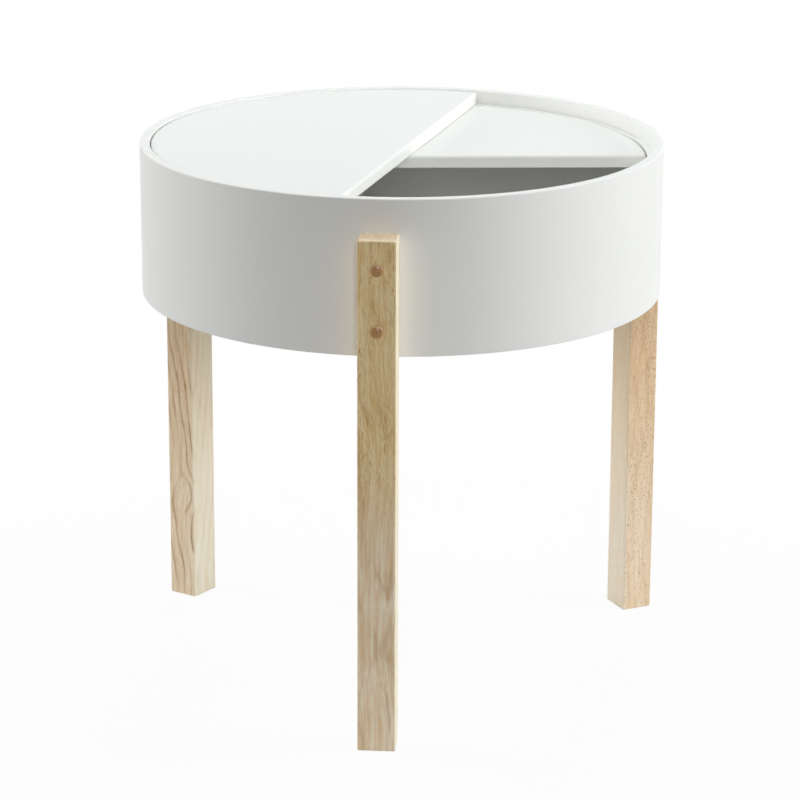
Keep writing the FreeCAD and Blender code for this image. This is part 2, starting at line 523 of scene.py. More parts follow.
@dataclass(frozen=True)
class PaleHardwood:
    """Clear-lacquered pale hardwood with growth lines, fibres and vessel dashes along the piece.

    Limits and patches are the noise levels where a thing starts and is full.

    Attributes:
        name: The material's name.
        centre: The origin of the piece's frame, in metres.
        turn: The turn of that frame about the upright, in radians.
        pith: Where the tree's centre lies from the piece's, outwards and sideways, in millimetres.
        lean: How far the pith drifts along the piece, per millimetre.
        wander: How far the grain swings from side to side, in millimetres.
        drift: The noise that swings it.
        pale: The lightest wood.
        warm: The darker, warmer wood between the pale streaks.
        warm_shares: How much bands, fibres and growth lines each bring of the warm wood.
        band: The noise of the bands.
        band_limits: The bands' limits.
        line: The colour of the growth lines.
        line_gap: Distance between growth lines, in millimetres.
        line_ripple: How far the lines ripple, in millimetres.
        ripple: The noise that ripples them.
        line_fineness: The power that thins the lines.
        line_strength: How much of the line colour shows.
        line_patches: Where the lines show.
        dash: The colour of the vessel dashes.
        dash_strength: How much of the dash colour shows.
        dash_size: A dash's size along the three axes, in millimetres.
        dash_limits: The dashes' limits.
        dash_patches: Where the dashes show.
        dash_share: How many of the dashes there are at the foot.
        patch: The noise of the patches.
        fibre_width: The fibre streaks' width, in millimetres.
        fibre_lengths: Their length at the foot and at the top, in millimetres.
        fibre_limits: The fibres' limits.
        top_tint: A painted shade that comes in towards the top of the piece, where the drum shades
            it.
        top_range: Where the painted top shade starts and is full, in millimetres.
        end_grain: Where the painted top shade ends again, on the end grain, in millimetres.
        cloud: The noise of the darker clouds.
        cloud_limits: The clouds' limits.
        cloud_tint: The clouds' tint.
        cloud_strength: How much of that tint shows.
        knots: The knots.
        sapwood: The paler side, if it has one.
        roughness: The roughness between fibres and dashes.
        fibre_roughness: What the fibres add to it.
        dash_roughness: What the dashes add to it.
        gloss: The lacquer's sheen.
        relief: The depth of the dashes, in metres.
        fibre_relief: The height of the fibres for each depth of the dashes.
        seed: Sets this piece's figure apart from another's.
    """

    name: str
    centre: Point = ORIGIN
    turn: float = 0.0
    pith: Flat = (-46.0, 10.0)
    lean: Flat = (0.02, 0.0)
    wander: float = 22.0
    drift: Noise = Noise((70.0, 70.0, 130.0), 1.0)
    pale: Colour = (0.94, 0.80, 0.59)
    warm: Colour = (0.75, 0.55, 0.35)
    warm_shares: tuple[float, float, float] = (0.4, 0.45, 0.15)
    band: Noise = Noise((4.2, 4.2, 150.0))
    band_limits: Flat = (0.38, 0.62)
    line: Colour = (0.50, 0.31, 0.16)
    line_gap: float = 6.5
    line_ripple: float = 7.0
    ripple: Noise = Noise((6.0, 6.0, 60.0))
    line_fineness: float = 9.0
    line_strength: float = 0.35
    line_patches: Flat = (0.32, 0.58)
    dash: Colour = (0.47, 0.29, 0.14)
    dash_strength: float = 0.6
    dash_size: Point = (0.7, 0.7, 6.5)
    dash_limits: Flat = (0.61, 0.70)
    dash_patches: Flat = (0.38, 0.58)
    dash_share: float = 1.0
    patch: Noise = Noise((13.0, 13.0, 70.0))
    fibre_width: float = 1.4
    fibre_lengths: Flat = (30.0, 18.0)
    fibre_limits: Flat = (0.40, 0.60)
    top_tint: Colour = WHITE
    top_range: Flat = (250.0, 480.0)
    end_grain: Flat = (481.5, 483.2)
    cloud: Noise = Noise((26.0, 26.0, 60.0))
    cloud_limits: Flat = (0.45, 0.75)
    cloud_tint: Colour = (0.97, 0.93, 0.87)
    cloud_strength: float = 0.3
    knots: tuple[Knot, ...] = ()
    sapwood: Sapwood | None = None
    roughness: float = 0.5
    fibre_roughness: float = 0.1
    dash_roughness: float = 0.12
    gloss: float = 0.2
    relief: float = 0.05 * MM
    fibre_relief: float = 0.5
    seed: float = 0.0

    def _flow(self, graph: FinishGraph, local: Signal) -> Signal:
        """The surface point, swung from side to side as the grain is.

        Args:
            graph: The material's graph.
            local: The surface point in the piece's own frame, in millimetres.

        Returns:
            The point that the figure is read at, in millimetres.
        """
        point = graph.vector_maths("ADD", local, (0.0, 0.0, self.seed * SEED_STEP))
        drift = graph.noise(point, self.drift, "Color")
        return graph.vector_maths("MULTIPLY_ADD", drift, (self.wander, self.wander, 0.0), point)

    def _growth(self, graph: FinishGraph, flow: Signal, local: Signal) -> Signal:
        """Distance from the pith in growth lines, bent by the grain and the knots.

        Args:
            graph: The material's graph.
            flow: The point that the figure is read at, in millimetres.
            local: The surface point in the piece's own frame, in millimetres.

        Returns:
            The number of growth lines from the pith.
        """
        up = graph.parts(local)[2]
        across, along = (
            place - (pith + self.wander * NOISE_MEAN) - up * lean
            for place, pith, lean in zip(graph.parts(flow), self.pith, self.lean)
        )
        radius = (across * across + along * along).math("SQRT")
        for knot in self.knots:
            away = graph.vector_maths("SUBTRACT", local, knot.place)
            reach = (knot.reach, knot.reach, knot.reach * knot.slant)
            share = graph.vector_maths("DIVIDE", away, reach)
            distance = graph.vector_maths("DOT_PRODUCT", share, share, output="Value")
            radius = radius + graph.maths("EXPONENT", 0.0 - distance) * knot.push
        ripple = graph.noise(flow, self.ripple) * self.line_ripple
        return (radius + ripple) / self.line_gap

    def material(self) -> bpy.types.Material:
        """Grows the wood.

        Returns:
            The finish as a material.
        """
        graph = FinishGraph(self.name)
        local = graph.position(self.centre, self.turn)
        flow = self._flow(graph, local)
        wave = (self._growth(graph, flow, local) * FULL_TURN).math("SINE") * 0.5 + 0.5
        band, patch, cloud, grains = (
            graph.noise(flow, noise)
            for noise in (self.band, self.patch, self.cloud, Noise(self.dash_size, 1.0))
        )
        out, side, up = graph.parts(local)
        high = up.between(*self.top_range)
        foot, top = (
            graph.noise(flow, Noise((self.fibre_width, self.fibre_width, length), roughness=0.6))
            for length in self.fibre_lengths
        )
        fibre = foot + (top - foot) * high
        lines = wave.math("POWER", self.line_fineness) * patch.between(*self.line_patches)
        share = self.dash_share + high * (1.0 - self.dash_share)
        dashes = grains.between(*self.dash_limits) * patch.between(*self.dash_patches) * share
        streaks = band.between(*self.band_limits) * self.warm_shares[0]
        streaks = streaks + fibre.between(*self.fibre_limits) * self.warm_shares[1]
        warmth = streaks + wave * self.warm_shares[2]
        colour = graph.blend(warmth, self.pale, self.warm)
        figure = 1.0
        # The paler side is blended in over one side of the board; on the front leg it is partly a
        # painted highlight.
        if self.sapwood:
            edge = out * self.sapwood.towards[0] + side * self.sapwood.towards[1]
            side_share = edge.between(*self.sapwood.reach)
            paler = graph.blend(warmth, self.sapwood.pale, self.sapwood.warm)
            colour = graph.blend(side_share, colour, paler)
            figure = 1.0 - side_share * self.sapwood.covers
            # The pale side takes only part of the painted top shade.
            high = high * (1.0 - side_share * (1.0 - self.sapwood.tinted))
        colour = graph.blend(lines * self.line_strength * figure, colour, self.line)
        colour = graph.blend(dashes * self.dash_strength * figure, colour, self.dash)
        clouds = cloud.between(*self.cloud_limits) * self.cloud_strength
        colour = graph.blend(clouds, colour, self.cloud_tint, Mixing.TINT)
        # Painted shade: towards the top the wood is tinted darker and yellower, where the drum
        # shades the leg; the end grain on top is left out.
        top_shading = high * (1.0 - up.between(*self.end_grain))
        worn = fibre * self.fibre_roughness + dashes * self.dash_roughness
        return graph.close(
            Base_Color=graph.blend(top_shading, colour, self.top_tint, Mixing.TINT),
            Roughness=self.roughness + worn,
            Specular_IOR_Level=self.gloss,
            Normal=graph.bump(fibre * self.fibre_relief - dashes, self.relief),
        )


@dataclass(frozen=True)
class TurnedButton:
    """Darker turned hardwood under clear lacquer, with a painted highlight round its rim, for the
    plugs.

    Attributes:
        middle: The drum's axis, in metres.
        turns: The directions that the buttons face from it, in radians.
        rim_range: How far from the axis the painted rim highlight ends and the middle is full, in
            millimetres.
        name: The material's name.
        light: Its lightest wood.
        dark: Its darkest wood.
        rim: The colour of the painted highlight round the rim.
        streak: The noise of its streaks.
        streak_limits: The noise levels where a streak starts and is full.
        streak_share: How much of the colour's change is the streaks'.
        cloud: The noise of the rest.
        roughness: The roughness between the streaks.
        streak_roughness: What the streaks add to it.
        gloss: The lacquer's sheen.
        relief: The streaks' depth, in metres.
    """

    middle: Point
    turns: tuple[float, ...]
    rim_range: Flat = (278.9, 279.3)
    name: str = "turned_plug_wood"
    light: Colour = (0.62, 0.35, 0.13)
    dark: Colour = (0.27, 0.115, 0.03)
    rim: Colour = (0.78, 0.54, 0.30)
    streak: Noise = Noise((1.0, 1.0, 9.0), 3.0, 0.6)
    streak_limits: Flat = (0.3, 0.7)
    streak_share: float = 0.6
    cloud: Noise = Noise((7.0, 7.0, 7.0))
    roughness: float = 0.22
    streak_roughness: float = 0.08
    gloss: float = 0.4
    relief: float = 0.03 * MM

    def material(self) -> bpy.types.Material:
        """Mixes the buttons' wood.

        Returns:
            The finish as a material.
        """
        graph = FinishGraph(self.name)
        point = graph.position(self.middle)
        streak, cloud = graph.noise(point, self.streak), graph.noise(point, self.cloud)
        streaks = streak.between(*self.streak_limits) * self.streak_share
        figure = streaks + cloud * (1.0 - self.streak_share)
        x, y, _ = graph.parts(point)
        outwards = highest([x * math.cos(turn) + y * math.sin(turn) for turn in self.turns])
        wood = graph.blend(figure, self.light, self.dark)
        # Painted highlight: each button's rim is given a paler colour than its middle.
        return graph.close(
            Base_Color=graph.blend(outwards.between(*self.rim_range), self.rim, wood),
            Roughness=self.roughness + streak * self.streak_roughness,
            Specular_IOR_Level=self.gloss,
            Normal=graph.bump(streak, self.relief),
        )


@dataclass(frozen=True)
class ZincPlate:
    """Bright zinc plate with fine scratches and cloudy spangle.

    Attributes:
        name: The material's name.
        colour: The bright plate.
        dull: The clouded plate.
        cloud: The noise of the clouds.
        cloud_limits: The noise levels where a cloud starts and is full.
        roughness: The bright plate's roughness.
        cloud_roughness: What the clouds add to it.
        scratch: The noise of the scratches.
        scratch_depth: Their depth, in metres.
    """

    name: str = "zinc_plate"
    colour: Colour = (0.66, 0.67, 0.67)
    dull: Colour = (0.50, 0.50, 0.49)
    cloud: Noise = Noise((4.0, 4.0, 4.0), 3.0, 0.6)
    cloud_limits: Flat = (0.35, 0.7)
    roughness: float = 0.28
    cloud_roughness: float = 0.15
    scratch: Noise = Noise((0.3, 3.0, 0.3))
    scratch_depth: float = 0.01 * MM

    def material(self) -> bpy.types.Material:
        """Mixes the plate.

        Returns:
            The finish as a material.
        """
        graph = FinishGraph(self.name)
        point = graph.position()
        cloud, scratch = graph.noise(point, self.cloud), graph.noise(point, self.scratch)
        return graph.close(
            Base_Color=graph.blend(cloud.between(*self.cloud_limits), self.colour, self.dull),
            Metallic=1.0,
            Roughness=self.roughness + cloud * self.cloud_roughness,
            Normal=graph.bump(scratch, self.scratch_depth),
        )


# For each leg, the tint towards the top is painted shade: the wood is darkened and yellowed
# towards the top, where the drum shades the leg.
LEG_BOARDS = {
    LegPlace.FRONT: PaleHardwood(
        "front_leg_wood",
        pith=(-60.0, 6.0),
        lean=(0.05, 0.01),
        pale=(0.98, 0.86, 0.67),
        warm=(0.81, 0.585, 0.345),
        dash=(0.56, 0.33, 0.12),
        dash_strength=0.7,
        dash_size=(0.8, 0.8, 7.0),
        dash_limits=(0.585, 0.665),
        dash_share=0.2,
        fibre_lengths=(60.0, 9.0),
        top_tint=(1.0, 0.93, 0.70),
        top_range=(160.0, 310.0),
        # The pale right side is partly paler wood and partly a painted highlight for the strong
        # light on that side, and it takes less of the painted top shade.
        sapwood=Sapwood((0.0, 1.0), (15.9, 17.2), 0.3, (0.96, 0.88, 0.72), (0.89, 0.77, 0.58)),
        seed=1.0,
    ),
    LegPlace.RIGHT: PaleHardwood(
        "right_leg_wood",
        pith=(30.0, 70.0),
        lean=(0.03, 0.0),
        pale=(0.93, 0.77, 0.57),
        warm=(0.78, 0.58, 0.39),
        line_strength=0.12,
        dash_strength=0.85,
        dash_size=(1.0, 1.0, 3.0),
        dash_limits=(0.61, 0.68),
        fibre_lengths=(9.0, 9.0),
        top_tint=(0.88, 0.80, 0.70),
        top_range=(60.0, 300.0),
        sapwood=Sapwood((-1.0, 0.0), (13.9, 15.4), 1.0, (0.97, 0.88, 0.72), (0.93, 0.79, 0.60)),
        seed=3.0,
    ),
    LegPlace.LEFT: PaleHardwood(
        "left_leg_wood",
        pith=(-70.0, 40.0),
        lean=(0.10, -0.02),
        pale=(0.95, 0.82, 0.61),
        warm=(0.78, 0.58, 0.38),
        line=(0.50, 0.30, 0.15),
        line_gap=8.0,
        line_strength=0.85,
        dash_strength=0.4,
        top_tint=(0.85, 0.80, 0.74),
        top_range=(60.0, 300.0),
        knots=(Knot((-11.0, 18.0, 112.0)),),
        sapwood=Sapwood((-1.0, 0.0), (13.9, 15.4)),
        seed=2.0,
    ),
}


# ------------------------------------------------------------------ mesh work


class Ends(Enum):
    """How a skin is closed at its first and last ring.

    Attributes:
        POLES: By rings that are one point each.
        CAPS: By one face each.
        RUNGS: By faces across, from each point of a ring that mirrors itself to its partner.
    """

    POLES = auto()
    CAPS = auto()
    RUNGS = auto()


def spread(start: float, end: float, steps: int) -> list[float]:
    """Evenly spaced numbers from start to end, one more than the steps."""
    return [start + (end - start) * step / steps for step in range(steps + 1)]


def circle(sides: int) -> list[float]:
    """Evenly spaced angles all the way round."""
    return spread(0.0, FULL_TURN, sides)[:-1]


def quarter(radius: float, steps: int) -> list[Flat]:
    """How far each point of a quarter round lies inwards from its side and above its start."""
    turns = spread(0.0, QUARTER_TURN, steps)
    return [(radius * (1 - math.cos(angle)), radius * math.sin(angle)) for angle in turns]


def eased_rectangle(
    low: Flat,
    high: Flat,
    eases: Sequence[float],
    inset: float = 0.0,
    corner_steps: int = 5,
    side_steps: tuple[int, int] = (1, 1),
) -> list[Flat]:
    """The outline of a rectangle with round corners, drawn in by an inset.

    Args:
        low: Its lowest corner before the inset.
        high: Its highest corner before the inset.
        eases: The corners' radii before the inset, counterclockwise from the lowest corner.
        inset: How far the outline is drawn in, at most the corners' radius.
        corner_steps: Faces round a corner.
        side_steps: Faces along the sides at the highest and at the lowest X.

    Returns:
        The outline's points, counterclockwise from the lowest corner.
    """
    centres = [
        (low[0] + eases[0], low[1] + eases[0]),
        (high[0] - eases[1], low[1] + eases[1]),
        (high[0] - eases[2], high[1] - eases[2]),
        (low[0] + eases[3], high[1] - eases[3]),
    ]
    outline: list[Flat] = []
    for place, ((across, along), ease) in enumerate(zip(centres, eases)):
        start, reach = math.pi + QUARTER_TURN * place, ease - inset
        for angle in spread(start, start + QUARTER_TURN, corner_steps):
            outline.append((across + reach * math.cos(angle), along + reach * math.sin(angle)))
        if place % 2:
            side, side_start = outline[-1]
            side_end = centres[(place + 1) % 4][1]
            rows = spread(side_start, side_end, side_steps[place // 2])
            outline += [(side, row) for row in rows[1:-1]]
    return outline


def drawn(
    name: str,
    points: Sequence[Point],
    edges: Sequence[tuple[int, int]] = (),
    faces: Sequence[Sequence[int]] = (),
) -> bpy.types.Object:
    """Makes an object in the scene.

    Args:
        name: Its name.
        points: Its points.
        edges: Its loose edges, by their points' numbers.
        faces: Its faces, by their points' numbers.

    Returns:
        The object.
    """
    mesh = bpy.data.meshes.new(name)
    mesh.from_pydata(points, edges, faces)
    piece = bpy.data.objects.new(name, mesh)
    bpy.context.scene.collection.objects.link(piece)
    return piece


def lofted(name: str, rings: Iterable[Iterable[Point]], ends: Ends) -> bpy.types.Object:
    """A closed skin through rings of points, with doubles merged and faces outwards.

    Args:
        name: The object's name.
        rings: The rings in order, all with as many points.
        ends: How the skin is closed.

    Returns:
        The object.
    """
    loops = [list(ring) for ring in rings]
    size = len(loops[0])
    starts = [size * place for place in range(len(loops))]
    faces = [
        (low + here, low + (here + 1) % size, high + (here + 1) % size, high + here)
        for low, high in zip(starts, starts[1:])
        for here in range(size)
    ]
    for start in (starts[0], starts[-1]):
        if ends is Ends.CAPS:
            faces.append(tuple(range(start, start + size)))
        if ends is Ends.RUNGS:
            for near in range(size // 2 - 1):
                far = size - 1 - near
                faces.append(tuple(start + place for place in (near, near + 1, far - 1, far)))
    piece = drawn(name, [point for loop in loops for point in loop], faces=faces)
    work = bmesh.new()
    work.from_mesh(piece.data)
    bmesh.ops.remove_doubles(work, verts=work.verts, dist=DOUBLES)
    bmesh.ops.dissolve_degenerate(work, dist=DOUBLES, edges=work.edges)
    bmesh.ops.recalc_face_normals(work, faces=work.faces)
    work.to_mesh(piece.data)
    work.free()
    return piece


def turned(
    name: str,
    profile: Sequence[tuple[float, float | RadiusAt]],
    sides: int,
    ends: Ends = Ends.POLES,
) -> bpy.types.Object:
    """A form turned about the X axis.

    Args:
        name: The object's name.
        profile: Distance along X of each ring, with its radius, or its radius at an angle.
        sides: Points round the axis.
        ends: How it is closed. Poles need a radius of 0 at both ends.

    Returns:
        The object.
    """
    rings: list[list[Point]] = []
    for along, radius in profile:
        rings.append([])
        for angle in circle(sides):
            reach = radius(angle) if callable(radius) else radius
            rings[-1].append((along, reach * math.cos(angle), reach * math.sin(angle)))
    return lofted(name, rings, ends)


def baked(piece: bpy.types.Object) -> bpy.types.Object:
    """Turns an object and its modifiers into a plain mesh.

    Args:
        piece: The object.

    Returns:
        The same object, with no modifiers.
    """
    evaluated = piece.evaluated_get(bpy.context.evaluated_depsgraph_get())
    mesh = bpy.data.meshes.new_from_object(evaluated)
    piece.modifiers.clear()
    piece.data = mesh
    return piece


def settled(piece: bpy.types.Object) -> bpy.types.Object:
    """Bakes an object and shades it smooth, with crisp edges.

    Args:
        piece: The object.

    Returns:
        The same object, with no modifiers.
    """
    baked(piece)
    piece.data.shade_smooth()
    piece.data.set_sharp_from_angle(angle=SHARP_EDGE)
    return piece


def evened(piece: bpy.types.Object) -> bpy.types.Object:
    """Settles an object and lets its wide faces set the shading.

    Args:
        piece: The object.

    Returns:
        The same object, with no modifiers.
    """
    even = settled(piece).modifiers.new("even_shading", "WEIGHTED_NORMAL")
    even.mode = "FACE_AREA"
    even.weight = 100
    even.keep_sharp = True
    return baked(piece)


def cut_out(piece: bpy.types.Object, tool: bpy.types.Object) -> bpy.types.Object:
    """Cuts a tool's shape out of a piece.

    Args:
        piece: The piece.
        tool: The cutting shape, which is left as it is.

    Returns:
        The piece as a plain mesh.
    """
    cut = piece.modifiers.new("cut", "BOOLEAN")
    cut.operation = "DIFFERENCE"
    cut.solver = "EXACT"
    cut.object = tool
    return settled(piece)


def placed(
    piece: bpy.types.Object,
    axis: Vector | Point = ORIGIN,
    turn: float = 0.0,
    height: float = 0.0,
) -> bpy.types.Object:
    """Turns a mesh about the upright and carries it to its place.

    Args:
        piece: The piece, built about the origin.
        axis: The upright axis it goes to.
        turn: The turn in radians.
        height: The height above the floor.

    Returns:
        The same piece.
    """
    lift = Matrix.Translation(Vector(axis) + Vector((0.0, 0.0, height)))
    piece.data.transform(lift @ Matrix.Rotation(turn, 4, "Z"))
    return piece


def dressed(piece: bpy.types.Object, material: bpy.types.Material) -> bpy.types.Object:
    """Gives a piece one material.

    Args:
        piece: The piece.
        material: Its finish.

    Returns:
        The same piece.
    """
    piece.data.materials.clear()
    piece.data.materials.append(material)
    return piece


# ------------------------------------------------------------------ geometry node plans


def ring_sweep_plan() -> GrowthPlan:
    """A tree that sweeps a section, drawn as radius and height, round the drum's axis.

    Returns:
        The tree.
    """
    plan = GrowthPlan("ring_sweep", Guide_Radius="Float", Segments="Int", Axis="Vector")
    section = plan.add("GeometryNodeMeshToCurve", inputs={"Mesh": plan.given("Geometry")})
    # A sweep hangs its section upside down, so it goes in mirrored and the faces are turned.
    mirrored = {"Geometry": section, "Scale": (1.0, -1.0, 1.0)}
    section = plan.add("GeometryNodeTransform", inputs=mirrored)
    guide = plan.add(
        "GeometryNodeCurvePrimitiveCircle",
        {"mode": "RADIUS"},
        {"Resolution": plan.given("Segments"), "Radius": plan.given("Guide Radius")},
        "Curve",
    )
    ring = plan.add("GeometryNodeCurveToMesh", inputs={"Curve": guide, "Profile Curve": section})
    ring = plan.add("GeometryNodeFlipFaces", inputs={"Mesh": ring})
    place = {"Geometry": ring, "Translation": plan.given("Axis")}
    plan.close(plan.add("GeometryNodeTransform", inputs=place))
    return plan


def ring_pattern_plan() -> GrowthPlan:
    """A tree that repeats a piece round the drum's axis, on one level or more.

    Returns:
        The tree.
    """
    plan = GrowthPlan(
        "ring_pattern",
        Copies="Int",
        Levels="Int",
        First_Turn="Float",
        Level_Step="Float",
        Axis="Vector",
    )
    copies = plan.given("Copies")
    index = plan.add("GeometryNodeInputIndex")
    level = (index / copies).math("FLOOR")
    lift = plan.add("ShaderNodeCombineXYZ", inputs={"Z": level * plan.given("Level Step")})
    place = {
        "Count": copies * plan.given("Levels"),
        "Position": plan.vector_maths("ADD", plan.given("Axis"), lift),
    }
    points = plan.add("GeometryNodePoints", inputs=place)
    angle = plan.given("First Turn") + index.math("MODULO", copies) / copies * FULL_TURN
    upright = {"Axis": (0.0, 0.0, 1.0), "Angle": angle}
    turn = plan.add("FunctionNodeAxisAngleToRotation", inputs=upright)
    copied = {"Points": points, "Instance": plan.given("Geometry"), "Rotation": turn}
    plan.close(plan.add("GeometryNodeInstanceOnPoints", inputs=copied))
    return plan


# ------------------------------------------------------------------ the table


@dataclass(frozen=True)
class Datum:
    """Where the solids stand, in metres.

    Attributes:
        axis: The drum's upright axis, on the floor.
        radius: The drum's outer radius.
        base: The drum's lower edge.
        rim: The drum's upper edge.
        tolerance: How far a solid may lie from these.
    """

    axis: Vector
    radius: float = 250.0 * MM
    base: float = 370.0 * MM
    rim: float = 515.0 * MM
    tolerance: float = 0.2 * MM

    @classmethod
    def of_frame(cls) -> "Datum":
        """Takes the drum's axis from the lower lid's joint and checks the sizes against the hoop.

        Returns:
            The datum.
        """
        joint = next(joint for joint in frame["joints"] if joint["child"] == Body.LOWER_LID.value)
        datum = cls(axis=Vector((joint["pos_m"][0], joint["pos_m"][1], 0.0)))
        low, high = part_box("drum_hoop")
        strays = (low.z - datum.base, high.z - datum.rim, high.y - datum.axis.y - datum.radius)
        if max(abs(stray) for stray in strays) > datum.tolerance:
            log.warning("the hoop and the datum differ: %s", strays)
        return datum


@dataclass(frozen=True)
class Workshop:
    """What every sub-assembly needs: the datum, the trees and the finish of each slot."""

    datum: Datum
    sweep: GrowthPlan
    pattern: GrowthPlan
    finishes: dict[Slot, bpy.types.Material]

    def repeated(
        self,
        seed: bpy.types.Object,
        slot: Slot,
        copies: int,
        first_turn: float,
        levels: int = 1,
        level_step: float = 0.0,
    ) -> bpy.types.Object:
        """Repeats a piece round the drum's axis.

        Args:
            seed: The piece, facing +X from the axis, at its first height.
            slot: The slot of its finish.
            copies: How many stand round the axis.
            first_turn: The first one's direction, in radians.
            levels: How many levels there are.
            level_step: The height from one level to the next.

        Returns:
            The same object with all copies in its mesh.
        """
        self.pattern.grow(
            seed,
            Copies=copies,
            Levels=levels,
            First_Turn=first_turn,
            Level_Step=level_step,
            Axis=tuple(self.datum.axis),
            Material=self.finishes[slot],
        )
        return settled(seed)

    def hand_over(
        self,
        piece: bpy.types.Object,
        slot: Slot,
        *nodes: str,
        body: Body = Body.STAND,
        material: bpy.types.Material | None = None,
    ) -> None:
        """Dresses a finished piece and hands it to the frame.

        Args:
            piece: The piece.
            slot: The record's slot for its finish.
            nodes: The solids it stands for.
            body: The body it rides on.
            material: A finish of its own in place of the slot's.
        """
        dressed(piece, material or self.finishes[slot])
        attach(piece, body.value)
        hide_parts(*nodes)
        faces = len(piece.data.polygons)
        log.info("%s: %d faces on %s, for %s", piece.name, faces, body.value, nodes)


@dataclass
class Drum:
    """The white drum: hoop, two ledges, bottom panel and the cleats under it."""

    shop: Workshop
    wall: float = 9.5 * MM
    rim_round: float = 1.5 * MM
    base_ease: float = 1.0 * MM
    upper_ledge_width: float = 6.0 * MM
    lower_ledge_width: float = 16.0 * MM
    upper_ledge_top: float = 502.0 * MM
    lower_ledge_top: float = 489.6 * MM
    lower_ledge_base: float = 473.6 * MM
    ledge_ease: float = 0.6 * MM
    glue_ease: float = 0.05 * MM
    segments: int = 256
    row_height: float = 7.25 * MM
    corner_steps: int = 6
    cleat_count: int = 6
    cleat_length: float = 70.0 * MM
    cleat_width: float = 18.0 * MM
    cleat_height: float = 9.0 * MM
    cleat_base: float = 371.5 * MM
    cleat_ease: float = 0.8 * MM
    cleat_ease_steps: int = 3
    cleat_steps: int = 12

    @property
    def inside(self) -> float:
        """The hoop's inner radius."""
        return self.shop.datum.radius - self.wall

    def _ring(self, name: str, low: Flat, high: Flat, eases: Sequence[float]) -> bpy.types.Object:
        """Sweeps a ring round the drum's axis, its walls in rows.

        Args:
            name: The ring's name.
            low: Inner radius and lower height.
            high: Outer radius and upper height.
            eases: The eases at inner low, outer low, outer high and inner high.

        Returns:
            The ring as a plain mesh.
        """
        guide = (low[0] + high[0]) / 2
        walls = (high[1] - low[1] - eases[place] - eases[(place + 1) % 4] for place in (1, 3))
        rows = tuple(max(1, round(wall / self.row_height)) for wall in walls)
        outline = eased_rectangle(
            low, high, eases, corner_steps=self.corner_steps, side_steps=rows
        )
        points = [(across - guide, height, 0.0) for across, height in outline]
        edges = [(place, (place + 1) % len(points)) for place in range(len(points))]
        piece = drawn(name, points, edges)
        self.shop.sweep.grow(
            piece,
            Guide_Radius=guide,
            Segments=self.segments,
            Axis=tuple(self.shop.datum.axis),
            Material=self.shop.finishes[Slot.LACQUER],
        )
        return settled(piece)

    def _ledge(
        self, name: str, width: float, base: float, top: float, base_ease: float
    ) -> bpy.types.Object:
        """A ring glued inside the hoop.

        Args:
            name: The ring's name.
            width: Its width.
            base: Its lower height.
            top: Its upper height.
            base_ease: The ease of its lower inner edge.

        Returns:
            The ledge.
        """
        eases = (base_ease, self.glue_ease, self.glue_ease, self.ledge_ease)
        return evened(self._ring(name, (self.inside - width, base), (self.inside, top), eases))

    def upper_ledge(self) -> bpy.types.Object:
        """The narrow ring under the upper lid."""
        base, top = self.lower_ledge_top, self.upper_ledge_top
        return self._ledge("narrow_ledge", self.upper_ledge_width, base, top, self.glue_ease)

    def lower_ledge(self) -> bpy.types.Object:
        """The wide ring under the lower lid."""
        base, top = self.lower_ledge_base, self.lower_ledge_top
        return self._ledge("wide_ledge", self.lower_ledge_width, base, top, self.ledge_ease)

    def hoop(self, drill: bpy.types.Object) -> bpy.types.Object:
        """The bent hoop, drilled for the fixings.

        Args:
            drill: The shape of all the fixings' holes.

        Returns:
            The hoop.
        """
        low = (self.inside, self.shop.datum.base)
        high = (self.shop.datum.radius, self.shop.datum.rim)
        eases = (self.base_ease, self.base_ease, self.rim_round, self.rim_round)
        return evened(cut_out(self._ring("hoop", low, high, eases), drill))

    def cleats(self) -> bpy.types.Object:
        """The blocks under the panel, bent to the hoop.

        Returns:
            All the cleats.
        """
        flat = (self.cleat_length / 2 - self.cleat_ease) / self.inside
        ends = quarter(self.cleat_ease, self.cleat_ease_steps)
        first = [(inset, -flat - rise / self.inside) for inset, rise in reversed(ends)]
        middle = [(0.0, angle) for angle in spread(-flat, flat, self.cleat_steps)[1:-1]]
        last = [(inset, -angle) for inset, angle in reversed(first)]
        low, high = (self.inside - self.cleat_width, 0.0), (self.inside, self.cleat_height)
        eases = (self.cleat_ease,) * 4
        rings = []
        for inset, angle in first + middle + last:
            outline = eased_rectangle(low, high, eases, inset, self.cleat_ease_steps)
            rings.append([(r * math.cos(angle), r * math.sin(angle), z) for r, z in outline])
        seed = placed(lofted("cleats", rings, Ends.CAPS), height=self.cleat_base)
        first_turn = LegPlace.FRONT.turn + math.pi / self.cleat_count
        return evened(self.shop.repeated(seed, Slot.HARDWOOD, self.cleat_count, first_turn))

    def build(self, drill: bpy.types.Object) -> None:
        """Builds, dresses and hands over the drum.

        Args:
            drill: The shape of all the fixings' holes.
        """
        self.shop.hand_over(self.hoop(drill), Slot.LACQUER, "drum_hoop")
        self.shop.hand_over(self.upper_ledge(), Slot.LACQUER, "upper_ledge")
        self.shop.hand_over(self.lower_ledge(), Slot.LACQUER, "lower_ledge")
        cleats = [f"bottom_cleat_{place}" for place in range(1, self.cleat_count + 1)]
        self.shop.hand_over(self.cleats(), Slot.HARDWOOD, *cleats)
        dressed(frame["nodes"]["bottom_panel"], self.shop.finishes[Slot.LACQUER])


